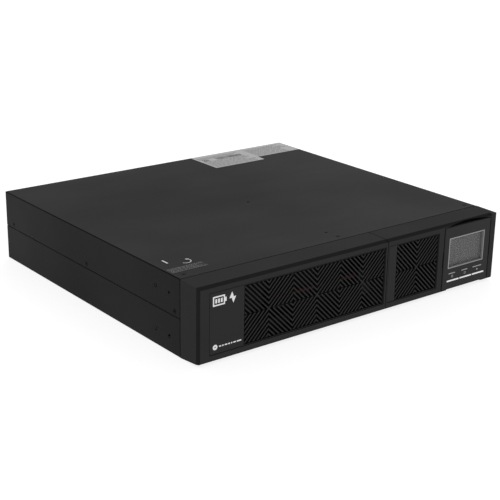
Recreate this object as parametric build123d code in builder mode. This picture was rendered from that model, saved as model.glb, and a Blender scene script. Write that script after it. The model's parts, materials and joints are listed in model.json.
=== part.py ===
"""A 2U rack or tower uninterruptible power supply, as separate pieces, in millimetres.

X runs to the right seen from the front, Y to the rear and Z up. The origin is the centre of the footprint, on the
surface that the supply stands on. A drawer of four sealed batteries fills the left side, behind a pull-off cover, and
the power electronics fill the right side, with a fan at the rear.
"""

from build123d import *
from math import cos, pi, sin
import os

os.makedirs("parts", exist_ok=True)

# Driving dimensions of the case
WIDTH = 438.0
HEIGHT = 86.5
BODY_DEPTH = 411.0  # front face of the bezel to the outside of the rear panel
BEZEL_DEPTH = 33.0
REAR_PROUD = 5.0  # how far the breaker's collar stands out of the rear panel
SHEET = 1.2
SEAM_Z = 43.0  # where the side of the top cover meets the side of the base
SEAM_GAP = 0.9
FIT = 0.2  # room between sheet-metal pieces that lie against each other

KEY_PROUD = 0.6

Y_FRONT = -(BODY_DEPTH + REAR_PROUD - KEY_PROUD) / 2
Y_SEAM = Y_FRONT + BEZEL_DEPTH
Y_REAR = Y_FRONT + BODY_DEPTH
HALF = WIDTH / 2
SKIN = HALF - SHEET  # inside face of a side wall
LOW = SHEET + FIT  # lowest place for a piece that stands on the base
HIGH = HEIGHT - SHEET - FIT  # highest place for a piece under the cover

# Front bezel
WALL = 2.5
SPLIT_X = 40.0  # seam between the battery cover and the fixed bezel
SPLIT_GAP = 1.0
BOTTOM_RISE = 3.0  # the bezel's underside climbs this much towards the front
TOP_FALL = 0.6
EDGE_DEPTH = 4.5  # bevel round the front face, along Y
EDGE_TOP = 2.4
EDGE_SIDE = 1.8
POST_X = 211.0  # right of here the top of the front has no bevel
REAR_GAP = 1.0  # groove between the front parts and the chassis

# Louvre bands
BLOCK = 33.1  # one square of parallel ribs
RIB_PITCH = 5.75  # from rib to rib, along X or Z
RIB = 1.45
RIB_SINK = 0.5  # the ribs start this far behind the band's face
RIB_INSET = 1.05  # the front of the ribs stops this far from the opening's edge
BAND_THICK = 2.4
BAND_LOW, BAND_HIGH = 10.2, 78.2
LOUVRE_Z = (BAND_LOW + BAND_HIGH) / 2
BAND_SINK = 0.35  # the band's face lies this far behind the front face
LEDGE = 1.0  # step that the band rests on
BAND_GAP = 0.6  # groove round the band
LOUVRE_HIGH = 65.7  # height of the ribbed opening
COVER_BAND = (-206.0, 37.3)
COVER_OPENING = (-161.7, 36.3)
COVER_LOUVRE_X = -62.8
BEZEL_BAND = (41.9, 122.2)
BEZEL_OPENING = (54.1, 121.2)
BEZEL_LOUVRE_X = 87.5

# Clips on the back of the two front pieces, by their centres in X and Z
CLIP_W = 7.0
COVER_CLIPS = [(-160.0, 80.9), (-52.0, 80.9), (33.0, 70.0), (33.0, 12.0)]
BEZEL_CLIPS = [(46.3, 18.0), (46.3, 66.0), (193.0, 15.0), (193.0, 71.0)]

# Display module
DISPLAY_X, DISPLAY_Z = 170.8, 43.2
DISPLAY = 77.4  # a square module, so that it also fits a quarter turn round
DISPLAY_GAP = 0.6  # above and below the module
DISPLAY_SIDE = (1.6, 0.9)  # at its left and at its right
DISPLAY_DEPTH = 22.0
SCREEN_W, SCREEN_H = 60.2, 37.8
SCREEN_X = DISPLAY_X - 0.9
SCREEN_Z = DISPLAY_Z + 6.2
SCREEN_SINK = 3.2
TRIM = 1.2
KEY_W, KEY_H = 20.4, 1.8
KEY_PITCH = 21.7
KEY_Z = 15.0
KEY_X = [DISPLAY_X + 0.5 + k * KEY_PITCH for k in (-1, 0, 1)]

# Battery drawer
BAY_X = (-213.0, -4.5)  # opening in the bulkhead
BAY_TOP = 70.0
PLATE_TOP = 78.4  # top of the drawer's front plate
THUMB_Z = 73.9
TRAY_X = (-212.0, -6.0)
TRAY_FLOOR = LOW
TRAY_REAR = 134.0
BLOCK_W, BLOCK_L, BLOCK_H = 94.0, 151.0, 65.0  # a 12 V 9 Ah block, lying on its side
TERMINAL_GAP = 13.6
TRAY_MID = sum(TRAY_X) / 2
LEAD_R = 2.4
LEAD_Z = (34.0, 46.0)
PLUG_X, PLUG_Z = 18.0, 40.0

# Rack ear and cover screw holes in the sides
EAR_Y = (Y_SEAM + 19.0, Y_SEAM + 44.0)
EAR_Z = (18.0, 66.5)
EAR_R = 2.1
SCREW_Z = 48.5
SCREW_Y = (Y_SEAM + 9.0, Y_SEAM + 184.0, Y_SEAM + 359.0)
SCREW_R = 1.5
TOP_SCREW_X = (-208.0, 1.5, 208.0)
TOP_SCREW_Y = Y_SEAM + 9.0
FLANGE = 14.0  # the bulkhead's lip that the cover's front edge is screwed to

# Rear connectors
FAN_X, FAN_Z = 165.0, HEIGHT / 2
FAN = 80.0
FAN_DEPTH = 25.0
STRIP_X, STRIP_Z = -140.0, (24.0, 62.0)
STRIP_W, STRIP_H = 126.0, 28.0
SOCKET_PITCH = 30.5
INLET_X, INLET_Z = -42.0, 24.0
BREAKER_X, BREAKER_Z = -42.0, 62.0
DC_X, DC_Z = 24.0, 24.0
EPO_X, EPO_Z = -14.0, 62.0
SLOT_X, SLOT_Z = 74.0, 60.0
SLOT_W, SLOT_H = 62.0, 40.0
USB_X, SERIAL_X, PORT_Z = 62.0, 93.0, 21.0

saved = []


def save(builder, name):
    """Writes one piece, which may be a group of separate solids, as its own file."""
    builder.part.label = name
    export_step(builder.part, f"parts/{name}.step")
    saved.append(name)


def slab(x, y, z, mode=Mode.ADD):
    """A box from its three ranges."""
    with Locations(((x[0] + x[1]) / 2, (y[0] + y[1]) / 2, (z[0] + z[1]) / 2)):
        Box(x[1] - x[0], y[1] - y[0], z[1] - z[0], mode=mode)


def rod_x(x, y, z, radius, mode=Mode.ADD):
    """A cylinder along X over the range x."""
    with Locations(Location(((x[0] + x[1]) / 2, y, z), (0, 90, 0))):
        Cylinder(radius, x[1] - x[0], mode=mode)


def rod_y(x, y, z, radius, mode=Mode.ADD):
    """A cylinder along Y over the range y."""
    with Locations(Location((x, (y[0] + y[1]) / 2, z), (90, 0, 0))):
        Cylinder(radius, y[1] - y[0], mode=mode)


def rod_z(x, y, z, radius, mode=Mode.ADD):
    """A cylinder along Z over the range z."""
    with Locations((x, y, (z[0] + z[1]) / 2)):
        Cylinder(radius, z[1] - z[0], mode=mode)


def around(middle, size):
    """The range of that size round a middle."""
    return (middle - size / 2, middle + size / 2)


# Case

def ear_holes(side, z_values, depth=(SKIN - 2, HALF + 1)):
    """The rack ear's screw holes in one side; side is -1 or 1."""
    for y in EAR_Y:
        for z in z_values:
            rod_x(sorted((side * depth[0], side * depth[1])), y, z, EAR_R, Mode.SUBTRACT)


def base_tray():
    """Floor and lower sides, folded from one sheet, with pressed studs for the main board."""
    with BuildPart() as part:
        slab((-HALF, HALF), (Y_SEAM, Y_REAR), (0, SHEET))
        for side in (-1, 1):
            x = sorted((side * HALF, side * SKIN))
            slab(x, (Y_SEAM, Y_REAR), (0, SEAM_Z - SEAM_GAP / 2))
        fillet(part.edges().filter_by(Axis.Y).group_by(Axis.Z)[0], 1.1)
        for side in (-1, 1):
            ear_holes(side, EAR_Z[:1])
        for x in (17.0, 118.0):
            for y in (Y_SEAM + 22, 150.0):
                rod_z(x, y, (SHEET / 2, 9.0), 3.0)
    return part


def top_cover():
    """Top and upper sides, folded from one sheet, with a countersink at each screw."""
    low = SEAM_Z + SEAM_GAP / 2
    with BuildPart() as part:
        slab((-HALF, HALF), (Y_SEAM, Y_REAR), (HEIGHT - SHEET, HEIGHT))
        for side in (-1, 1):
            x = sorted((side * HALF, side * SKIN))
            slab(x, (Y_SEAM, Y_REAR), (low, HEIGHT))
        fillet(part.edges().filter_by(Axis.Y).group_by(Axis.Z)[-1], 1.1)
        for side in (-1, 1):
            ear_holes(side, EAR_Z[1:])
            for y in SCREW_Y:
                with Locations(Location((side * HALF, y, SCREW_Z), (0, side * 90, 0))):
                    CounterSinkHole(SCREW_R + 0.1, 2.9, depth=SHEET * 2)
        for x in TOP_SCREW_X:
            with Locations((x, TOP_SCREW_Y, HEIGHT)):
                CounterSinkHole(SCREW_R + 0.1, 2.9, depth=SHEET * 2)
        for y in (Y_SEAM + 27, Y_SEAM + 170):
            with Locations((0.0, y, HEIGHT)):
                Cylinder(1.6, 0.5, align=(Align.CENTER, Align.CENTER, Align.MAX), mode=Mode.SUBTRACT)
    return part


def side_rail(side):
    """Strip inside one side that joins the cover to the base and takes the rack ear's screws."""
    inner = SKIN - 1.4
    x = sorted((side * inner, side * SKIN))
    with BuildPart() as part:
        slab(x, (Y_SEAM + 2, Y_REAR - 16), (34.0, 56.0))
        slab(x, (Y_SEAM + 10, Y_SEAM + 54), (8.0, 78.0))
        ear_holes(side, EAR_Z, (inner - 1, HALF))
        for y in SCREW_Y:
            rod_x(sorted((side * (inner - 1), side * HALF)), y, SCREW_Z, SCREW_R, Mode.SUBTRACT)
        fillet(part.edges().filter_by(Axis.X).filter_by(GeomType.LINE), 1.0)
    return part


def countersunk(length=5.0):
    """One countersunk screw along Z with its flat head's top at the origin."""
    with BuildPart(mode=Mode.PRIVATE) as part:
        Cone(SCREW_R, 2.8, 1.1, align=(Align.CENTER, Align.CENTER, Align.MAX))
        Cylinder(SCREW_R - 0.05, length, align=(Align.CENTER, Align.CENTER, Align.MAX))
        for angle in (0, 90):
            with Locations(Location((0, 0, 0), (0, 0, angle))):
                Box(2.6, 0.6, 1.2, mode=Mode.SUBTRACT)
    return part.part


def pan_screw(radius=2.9, height=1.8, length=6.0):
    """One pan-head screw along Z with the underside of its head at the origin."""
    with BuildPart(mode=Mode.PRIVATE) as part:
        Cylinder(radius, height, align=(Align.CENTER, Align.CENTER, Align.MIN))
        fillet(part.edges().group_by(Axis.Z)[-1], 0.8)
        Cylinder(SCREW_R - 0.05, length, align=(Align.CENTER, Align.CENTER, Align.MAX))
        for angle in (0, 90):
            with Locations(Location((0, 0, height), (0, 0, angle))):
                Box(3.0, 0.7, 1.6, mode=Mode.SUBTRACT)
    return part.part


def cover_screws():
    """Flush countersunk screws: three on each side and three along the cover's front edge."""
    screw = countersunk()
    with BuildPart() as part:
        for side in (-1, 1):
            for y in SCREW_Y:
                add(screw.moved(Location((side * (HALF - 0.05), y, SCREW_Z), (0, side * 90, 0))))
        for x in TOP_SCREW_X:
            add(screw.moved(Location((x, TOP_SCREW_Y, HEIGHT - 0.05))))
    return part


def front_bulkhead():
    """Steel front wall of the chassis: the drawer opening, vent slots and the holes that the front parts clip into."""
    y = (Y_SEAM, Y_SEAM + SHEET)
    with BuildPart() as part:
        slab((-SKIN + FIT, SKIN - FIT), y, (LOW, HIGH))
        slab((-SKIN + FIT, SKIN - FIT), (Y_SEAM, Y_SEAM + FLANGE), (HIGH - SHEET, HIGH))
        for x in TOP_SCREW_X:
            rod_z(x, TOP_SCREW_Y, (HIGH - 3, HIGH + 1), SCREW_R, Mode.SUBTRACT)
        slab(BAY_X, (Y_SEAM - 1, Y_SEAM + 3), (0, BAY_TOP), Mode.SUBTRACT)
        with BuildSketch(Plane.XZ.offset(-Y_SEAM)):
            with Locations((BEZEL_LOUVRE_X, LOUVRE_Z)):
                with GridLocations(7.0, 17.0, 9, 4):
                    SlotOverall(15.0, 4.2, rotation=90)
            with Locations((DISPLAY_X, DISPLAY_Z)):
                RectangleRounded(34, 22, 2)
            with Locations((PLUG_X, PLUG_Z)):
                Rectangle(20.4, 32.4)
            with Locations(*COVER_CLIPS, *BEZEL_CLIPS):
                Rectangle(9.0, 5.0)
            with Locations((TRAY_X[0] + 22, THUMB_Z), (TRAY_X[1] - 22, THUMB_Z)):
                Circle(2.4)
        extrude(amount=SHEET * 3, both=True, mode=Mode.SUBTRACT)
    return part


def bay_wall():
    """Partition between the battery bay and the electronics, flanged under the cover."""
    y = (Y_SEAM + SHEET + FIT, Y_REAR - SHEET - FIT)
    with BuildPart() as part:
        slab((-SHEET, 0), y, (LOW, HIGH))
        slab((-SHEET, 11), y, (HIGH - SHEET, HIGH))
        slab((-SHEET, 11), y, (LOW, LOW + SHEET))
        slab((-5, 12), (Y_SEAM, Y_SEAM + FLANGE + FIT), (HIGH - SHEET - FIT, HEIGHT), Mode.SUBTRACT)
        for z in (30.0, 58.0):
            slab((-3, 3), (140.0, 175.0), around(z, 10.0), Mode.SUBTRACT)
    return part


def label(x, y):
    """A thin sticker lying on the top cover."""
    with BuildPart() as part:
        slab(x, y, (HEIGHT, HEIGHT + 0.12))
        fillet(part.edges().filter_by(Axis.Z), 1.2)
    return part


# Front

def bezel_envelope():
    """Outer form of the whole front: it narrows towards the front and has a bevel round its face."""
    with BuildPart(mode=Mode.PRIVATE) as part:
        with BuildSketch(Plane.YZ.offset(-HALF)):
            with BuildLine():
                Polyline(
                    (Y_SEAM, 0.2),
                    (Y_SEAM, HEIGHT),
                    (Y_FRONT + EDGE_DEPTH, HEIGHT - TOP_FALL),
                    (Y_FRONT, HEIGHT - TOP_FALL - EDGE_TOP),
                    (Y_FRONT, BOTTOM_RISE + 1.0),
                    (Y_FRONT + 1.6, BOTTOM_RISE),
                    (Y_SEAM, 0.2),
                )
            make_face()
        extrude(amount=WIDTH)
        slab((POST_X, HALF), (Y_FRONT, Y_FRONT + EDGE_DEPTH), (HEIGHT - 8, HEIGHT - TOP_FALL))
        for side, size in ((0, (EDGE_SIDE, EDGE_DEPTH)), (-1, (0.4, 1.0))):
            face = part.faces().sort_by(Axis.Y)[0]
            edge = face.edges().filter_by(Axis.Z).sort_by(Axis.X)[side]
            chamfer(edge, length=size[0], length2=size[1], reference=face)
        rim = (Y_SEAM - REAR_GAP, Y_SEAM + 1)
        for side in (-1, 1):
            slab(sorted((side * (HALF - 1.3), side * (HALF + 1))), rim, (-1, HEIGHT + 1), Mode.SUBTRACT)
        slab((-HALF - 1, HALF + 1), rim, (HEIGHT - 1.3, HEIGHT + 1), Mode.SUBTRACT)
        slab((-HALF - 1, HALF + 1), rim, (-1, 1.5), Mode.SUBTRACT)
    return part.part


def bezel_shell(x):
    """The part of the envelope over the range x, hollowed from behind to one wall thickness."""
    span = Box(x[1] - x[0], 200, 200, mode=Mode.PRIVATE).moved(Location(((x[0] + x[1]) / 2, Y_SEAM, 0)))
    outside = bezel_envelope() & span
    front, rear = Y_FRONT + WALL + 1.6, Y_SEAM + 1
    with BuildPart(mode=Mode.PRIVATE) as hollow:
        with BuildSketch(Plane.YZ.offset(x[0] + WALL)):
            with BuildLine():
                Polyline(
                    (front, BOTTOM_RISE + WALL),
                    (rear, 0.2 + WALL),
                    (rear, HEIGHT - WALL),
                    (front, HEIGHT - TOP_FALL - WALL - 0.3),
                    close=True,
                )
            make_face()
        extrude(amount=x[1] - x[0] - 2 * WALL)
    add(outside)
    add(hollow.part, mode=Mode.SUBTRACT)


def band_recess(band):
    """Where a louvre band sits: a shallow step in the face with an opening behind it."""
    slab(band, (Y_FRONT - 1, Y_FRONT + BAND_SINK + BAND_THICK), (BAND_LOW, BAND_HIGH), Mode.SUBTRACT)
    inner = (band[0] + LEDGE, band[1] - LEDGE)
    slab(inner, (Y_FRONT - 1, Y_FRONT + 12), (BAND_LOW + LEDGE, BAND_HIGH - LEDGE), Mode.SUBTRACT)


def clip(x, z, root_y):
    """A spring clip that reaches back through the bulkhead from the plane root_y."""
    slab(around(x, CLIP_W), (root_y, Y_SEAM + 5.0), around(z, 1.8))
    slab(around(x, CLIP_W), (Y_SEAM + 2.0, Y_SEAM + 5.0), (z - 0.9, z + 1.7))


def battery_cover():
    """Pull-off left half of the front, which hides the battery drawer."""
    x = (-HALF, SPLIT_X - SPLIT_GAP / 2)
    with BuildPart() as part:
        bezel_shell(x)
        band_recess(COVER_BAND)
        for clip_x, clip_z in COVER_CLIPS[:2]:
            clip(clip_x, clip_z, Y_FRONT + 6)
            slab(around(clip_x, CLIP_W), (Y_FRONT + 6, Y_FRONT + 14), (clip_z, HEIGHT - TOP_FALL - 0.8))
        for clip_x, clip_z in COVER_CLIPS[2:]:
            clip(clip_x, clip_z, Y_FRONT + 8)
            slab((clip_x, x[1] - 1), (Y_FRONT + 8, Y_FRONT + 16), around(clip_z, 1.8))
    return part


def louvre_cell():
    """Sketch of one repeat of the ribs: two by two blocks whose ribs lean in turn, centred on the crossing."""
    most = int(BLOCK / RIB_PITCH)
    with BuildSketch(mode=Mode.PRIVATE) as cell:
        for right, up in ((1, 1), (-1, 1), (-1, -1), (1, -1)):
            with BuildSketch(mode=Mode.PRIVATE) as quarter:
                for k in range(-most, most + 1):
                    shift = k * RIB_PITCH / 2
                    with Locations(Location((BLOCK / 2 + shift, BLOCK / 2 - shift, 0), (0, 0, 45))):
                        Rectangle(BLOCK * 1.6, RIB)
                with Locations((BLOCK / 2, BLOCK / 2)):
                    Rectangle(BLOCK, BLOCK, mode=Mode.INTERSECT)
            face = quarter.sketch
            if right < 0:
                face = face.mirror(Plane.YZ)
            if up < 0:
                face = face.mirror(Plane.XZ)
            add(face)
    return cell.sketch


def rib_field(cell, middle_x, repeats, opening, inset):
    """Sketch of a row of cells, cut to the opening less an inset, which also parts the upper and lower ribs."""
    with BuildSketch(mode=Mode.PRIVATE) as field:
        with Locations((middle_x, LOUVRE_Z)):
            with GridLocations(2 * BLOCK, 0, repeats, 1):
                add(cell)
        with Locations((sum(opening) / 2, LOUVRE_Z)):
            Rectangle(opening[1] - opening[0] - 2 * inset, LOUVRE_HIGH - 2 * inset, mode=Mode.INTERSECT)
        if inset > 0:
            with Locations((middle_x, LOUVRE_Z)):
                with GridLocations(2 * BLOCK, 0, repeats + 1, 1):
                    Rectangle(2 * BLOCK - 6, 1.1, mode=Mode.SUBTRACT)
    return field.sketch


def louvre(band, opening, middle_x, repeats):
    """A louvre band: a plate with a field of chevron ribs set back in it, carried by webs behind them."""
    face_y = Y_FRONT + BAND_SINK
    back_y = face_y + BAND_THICK
    cell = louvre_cell()
    with BuildPart() as part:
        slab((band[0] + BAND_GAP, band[1] - BAND_GAP), (face_y, back_y), (BAND_LOW + BAND_GAP, BAND_HIGH - BAND_GAP))
        slab(opening, (face_y - 1, face_y + 5), around(LOUVRE_Z, LOUVRE_HIGH), Mode.SUBTRACT)
        with BuildSketch(Plane.XZ.offset(-face_y - RIB_SINK)):
            add(rib_field(cell, middle_x, repeats, opening, RIB_INSET))
        extrude(amount=-1.2)
        with BuildSketch(Plane.XZ.offset(-face_y - RIB_SINK - 1.0)):
            add(rib_field(cell, middle_x, repeats + 2, opening, -0.3))
        extrude(amount=-(back_y - face_y - RIB_SINK - 1.0))
        web_y = (back_y - 0.4, back_y + 1.2)
        for k in range(1, 2 * repeats):
            slab(around(middle_x + (k - repeats) * BLOCK, 1.0), web_y, around(LOUVRE_Z, LOUVRE_HIGH - 1))
        slab((opening[0] + 0.5, opening[1] - 0.5), web_y, around(LOUVRE_Z, 1.0))
    return part


def front_bezel():
    """Fixed right half of the front, with the square bay that the display module plugs into."""
    x = (SPLIT_X + SPLIT_GAP / 2, HALF)
    bay = DISPLAY + 2 * DISPLAY_GAP
    bay_x = (DISPLAY_X - DISPLAY / 2 - DISPLAY_SIDE[0], DISPLAY_X + DISPLAY / 2 + DISPLAY_SIDE[1])
    bay_floor = Y_FRONT + DISPLAY_DEPTH + 0.4
    with BuildPart() as part:
        bezel_shell(x)
        band_recess(BEZEL_BAND)
        slab((bay_x[0] - 1.6, bay_x[1] + 1.6), (Y_FRONT + 3, bay_floor + 1.6), (3.2, DISPLAY_Z + bay / 2 + 1.0))
        slab(bay_x, (Y_FRONT - 1, bay_floor), around(DISPLAY_Z, bay), Mode.SUBTRACT)
        slab(around(DISPLAY_X, 30.0), (Y_FRONT, Y_SEAM + 1), around(DISPLAY_Z, 16.0), Mode.SUBTRACT)
        scoop = DISPLAY_Z + bay / 2 - 0.2
        with BuildSketch(Plane.XZ.offset(-Y_FRONT + 1)):
            with BuildLine():
                arc = ThreePointArc((DISPLAY_X - 38, scoop), (DISPLAY_X, scoop + 2.7), (DISPLAY_X + 38, scoop))
                Line(arc @ 1, arc @ 0)
            make_face()
        extrude(amount=-11, mode=Mode.SUBTRACT)
        slab(around(DISPLAY_X, 60), (Y_FRONT - 1, Y_FRONT + 9), (0, DISPLAY_Z - bay / 2 + 0.5), Mode.SUBTRACT)
        for x in (bay_x[0] - 0.1, bay_x[1] + 0.1):
            slab(around(x, 1.2), (Y_FRONT - 1, Y_FRONT + 9), around(DISPLAY_Z, 19), Mode.SUBTRACT)
        for clip_x, clip_z in BEZEL_CLIPS[:2]:
            clip(clip_x, clip_z, Y_FRONT + 14)
        for clip_x, clip_z in BEZEL_CLIPS[2:]:
            clip(clip_x, clip_z, bay_floor + 1.0)
    return part


# Display module

def display_housing():
    """Square front shell of the display module, with the screen opening and three key slots."""
    y = (Y_FRONT, Y_FRONT + DISPLAY_DEPTH - 2)
    with BuildPart() as part:
        slab(around(DISPLAY_X, DISPLAY), y, around(DISPLAY_Z, DISPLAY))
        chamfer(part.faces().sort_by(Axis.Y)[0].edges(), 0.5)
        inner = DISPLAY - 4.4
        slab(around(DISPLAY_X, inner), (Y_FRONT + 3.4, y[1] + 1), around(DISPLAY_Z, inner), Mode.SUBTRACT)
        slab(around(SCREEN_X, SCREEN_W + 0.2), (Y_FRONT - 1, Y_FRONT + 5), around(SCREEN_Z, SCREEN_H + 0.2),
             Mode.SUBTRACT)
        for x in KEY_X:
            slab(around(x, KEY_W + 0.5), (Y_FRONT - 1, Y_FRONT + 5), around(KEY_Z, KEY_H + 0.5), Mode.SUBTRACT)
    return part


def display_back():
    """Rear lid of the display module, with the cable socket's opening."""
    y = (Y_FRONT + DISPLAY_DEPTH - 2, Y_FRONT + DISPLAY_DEPTH)
    with BuildPart() as part:
        slab(around(DISPLAY_X, DISPLAY - 0.4), y, around(DISPLAY_Z, DISPLAY - 0.4))
        slab(around(DISPLAY_X, DISPLAY - 4.8), (y[0] - 3, y[1]), around(DISPLAY_Z, DISPLAY - 4.8))
        slab(around(DISPLAY_X, DISPLAY - 8), (y[0] - 4, y[0]), around(DISPLAY_Z, DISPLAY - 8), Mode.SUBTRACT)
        slab(around(DISPLAY_X, 22), (y[0] - 4, y[1] + 1), around(DISPLAY_Z, 9), Mode.SUBTRACT)
    return part


def display_trim():
    """Light frame that lines the screen opening."""
    with BuildPart() as part:
        slab(around(SCREEN_X, SCREEN_W), (Y_FRONT - 0.25, Y_FRONT + SCREEN_SINK + 0.6), around(SCREEN_Z, SCREEN_H))
        slab(around(SCREEN_X, SCREEN_W - 2 * TRIM), (Y_FRONT - 1, Y_FRONT + 5), around(SCREEN_Z, SCREEN_H - 2 * TRIM),
             Mode.SUBTRACT)
        chamfer(part.faces().sort_by(Axis.Y)[0].outer_wire().edges(), 0.2)
    return part


def display_window():
    """Clear pane in front of the screen."""
    with BuildPart() as part:
        slab(around(SCREEN_X, SCREEN_W - 2 * TRIM - 0.1), around(Y_FRONT + SCREEN_SINK, 0.8),
             around(SCREEN_Z, SCREEN_H - 2 * TRIM - 0.1))
    return part


def lcd_panel():
    """Liquid crystal panel behind the pane, with its backlight."""
    with BuildPart() as part:
        slab(around(SCREEN_X, SCREEN_W + 2), around(Y_FRONT + SCREEN_SINK + 2.3, 2.6), around(SCREEN_Z, SCREEN_H + 2))
    return part


def display_board():
    """Circuit board of the display module, with a push switch behind each key and the cable socket."""
    y = (Y_FRONT + 9.0, Y_FRONT + 10.6)
    with BuildPart() as part:
        slab(around(DISPLAY_X, 70), y, around(DISPLAY_Z, 70))
        for x in KEY_X:
            slab(around(x, 6), (y[0] - 3.2, y[0]), around(KEY_Z, 6))
        slab(around(DISPLAY_X, 20), (y[1], Y_FRONT + DISPLAY_DEPTH - 1), around(DISPLAY_Z, 7))
    return part


def display_key(x):
    """One slim key: a bar through its slot, a flange that keeps it in and a stem towards its switch."""
    back = Y_FRONT + 3.4 + 0.1
    with BuildPart() as part:
        slab(around(x, KEY_W), (Y_FRONT - KEY_PROUD, back + 0.9), around(KEY_Z, KEY_H))
        fillet(part.edges().filter_by(Axis.Y), 0.7)
        fillet(part.faces().sort_by(Axis.Y)[0].edges(), 0.25)
        slab(around(x, KEY_W + 0.9), (back, back + 0.9), around(KEY_Z, KEY_H + 2.4))
        slab(around(x, 3), (back, back + 1.5), around(KEY_Z, 3))
    return part


# Battery drawer

def battery_tray():
    """Steel drawer: a floor with low sides, and a front plate that closes the opening in the bulkhead."""
    floor = (TRAY_FLOOR, TRAY_FLOOR + SHEET)
    plate_y = (Y_SEAM - FIT - SHEET, Y_SEAM - FIT)
    step_y = Y_SEAM + FIT
    lip = (3.4, 3.4 + SHEET)
    with BuildPart() as part:
        slab(TRAY_X, (step_y, TRAY_REAR), floor)
        slab(TRAY_X, (step_y, step_y + SHEET), (floor[0], lip[1]))
        slab(TRAY_X, (plate_y[0], step_y + SHEET), lip)
        for x in ((TRAY_X[0], TRAY_X[0] + SHEET), (TRAY_X[1] - SHEET, TRAY_X[1])):
            slab(x, (step_y, TRAY_REAR), (floor[0], 30.0))
            slab(x, (plate_y[0], step_y), (lip[0], 30.0))
        slab(TRAY_X, (TRAY_REAR - SHEET, TRAY_REAR), (floor[0], 30.0))
        slab((-SKIN + 4, -2.0), plate_y, (lip[0], PLATE_TOP))
        for z in LEAD_Z:
            rod_y(TRAY_MID, (plate_y[0] - 1, plate_y[1] + 1), z, 4.0, Mode.SUBTRACT)
        for x in (TRAY_X[0] + 22, TRAY_X[1] - 22):
            rod_y(x, (plate_y[0] - 1, plate_y[1] + 1), THUMB_Z, 2.2, Mode.SUBTRACT)
    return part


def block_centres():
    """Centre of each battery, and the way its terminals face."""
    offset = (TERMINAL_GAP + BLOCK_W) / 2
    rows = [Y_SEAM + 3 + BLOCK_L / 2, Y_SEAM + 4 + BLOCK_L * 1.5]
    z = TRAY_FLOOR + SHEET + BLOCK_H / 2
    return [(TRAY_MID + side * offset, y, z, -side) for y in rows for side in (-1, 1)]


def battery_block(x, y, z, facing):
    """A sealed battery lying on its side: a case with a lid line and recessed terminals."""
    lid = x + facing * (BLOCK_W / 2 - 9)
    with BuildPart() as part:
        slab(around(x, BLOCK_W), around(y, BLOCK_L), around(z, BLOCK_H))
        fillet(part.edges(), 1.5)
        with BuildSketch(Plane.YZ.offset(lid)):
            with Locations((y, z)):
                Rectangle(BLOCK_L + 1, BLOCK_H + 1)
                Rectangle(BLOCK_L - 0.8, BLOCK_H - 0.8, mode=Mode.SUBTRACT)
        extrude(amount=0.4, both=True, mode=Mode.SUBTRACT)
    return part


TAB_REACH = BLOCK_L / 2 - 14.0  # terminals from the middle of a battery
TAB_Z = TRAY_FLOOR + SHEET + BLOCK_H - 16.0


def battery_terminals():
    """Blade terminals, two on each battery."""
    with BuildPart() as part:
        for x, y, _, facing in block_centres():
            face = x + facing * BLOCK_W / 2
            for end in (-1, 1):
                slab(sorted((face, face + facing * 4.6)), around(y + end * TAB_REACH, 6.35), around(TAB_Z, 0.8))
    return part


def battery_links():
    """Insulated jumpers that put the four batteries in series."""
    rows = [centre[1] for centre in block_centres()[::2]]
    with BuildPart() as part:
        slab(around(TRAY_MID, 11.0), around(rows[1] + TAB_REACH, 8.0), around(TAB_Z + 2.2, 3.0))
        for side in (-1, 1):
            slab(around(TRAY_MID + side * 3.6, 3.0), (rows[0] + TAB_REACH - 4, rows[1] - TAB_REACH + 4),
                 around(TAB_Z + 2.2, 3.0))
    return part


def battery_lead(z, tab_side):
    """One thick lead, from a front terminal, out through the drawer's plate and along to the plug."""
    tab_y = block_centres()[0][1] - TAB_REACH
    out_y = Y_SEAM - 14.0
    start = (TRAY_MID + tab_side * 4.0, tab_y + 3.0, TAB_Z - 3.2)
    with BuildPart() as part:
        with BuildLine() as path:
            FilletPolyline(
                start,
                (start[0], tab_y - 7.5, (start[2] + z) / 2),
                (TRAY_MID, Y_SEAM + 1.5, z),
                (TRAY_MID, out_y, z),
                (PLUG_X - 10.0, out_y, z),
                radius=[6.0, 6.0, 11.0],
            )
        with BuildSketch(Plane(origin=path.line @ 0, z_dir=path.line % 0)):
            Circle(LEAD_R)
        sweep()
    return part


def battery_plug():
    """Two-pole plug that the leads enter from the side."""
    with BuildPart() as part:
        slab(around(PLUG_X, 20), (Y_SEAM - 21, Y_SEAM - 3), around(PLUG_Z, 34))
        fillet(part.edges().filter_by(Axis.Z), 2.0)
        for z in (PLUG_Z - 8, PLUG_Z + 8):
            slab(around(PLUG_X, 13), (Y_SEAM - 4, Y_SEAM + 12), around(z, 9))
    return part


def battery_receptacle():
    """Two-pole receptacle in the bulkhead that the plug pushes into."""
    with BuildPart() as part:
        slab(around(PLUG_X, 20), (Y_SEAM - 1.0, Y_SEAM + 18), around(PLUG_Z, 32))
        slab(around(PLUG_X, 24), (Y_SEAM - 2.4, Y_SEAM), around(PLUG_Z, 36))
        for z in (PLUG_Z - 8, PLUG_Z + 8):
            slab(around(PLUG_X, 13.8), (Y_SEAM - 4, Y_SEAM + 13), around(z, 9.8), Mode.SUBTRACT)
    return part


def tray_thumbscrews():
    """Captive knurled screws that hold the drawer shut."""
    plate = Y_SEAM - FIT - SHEET
    with BuildPart() as part:
        for x in (TRAY_X[0] + 22, TRAY_X[1] - 22):
            rod_y(x, (plate - 8, plate - 0.05), THUMB_Z, 5.0)
            for k in range(12):
                angle = k * pi / 6
                rod_y(x + 5.2 * cos(angle), (plate - 8.5, plate - 1.6), THUMB_Z + 5.2 * sin(angle), 0.7, Mode.SUBTRACT)
            rod_y(x, (plate - 0.1, Y_SEAM + 6), THUMB_Z, 1.95)
    return part


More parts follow.
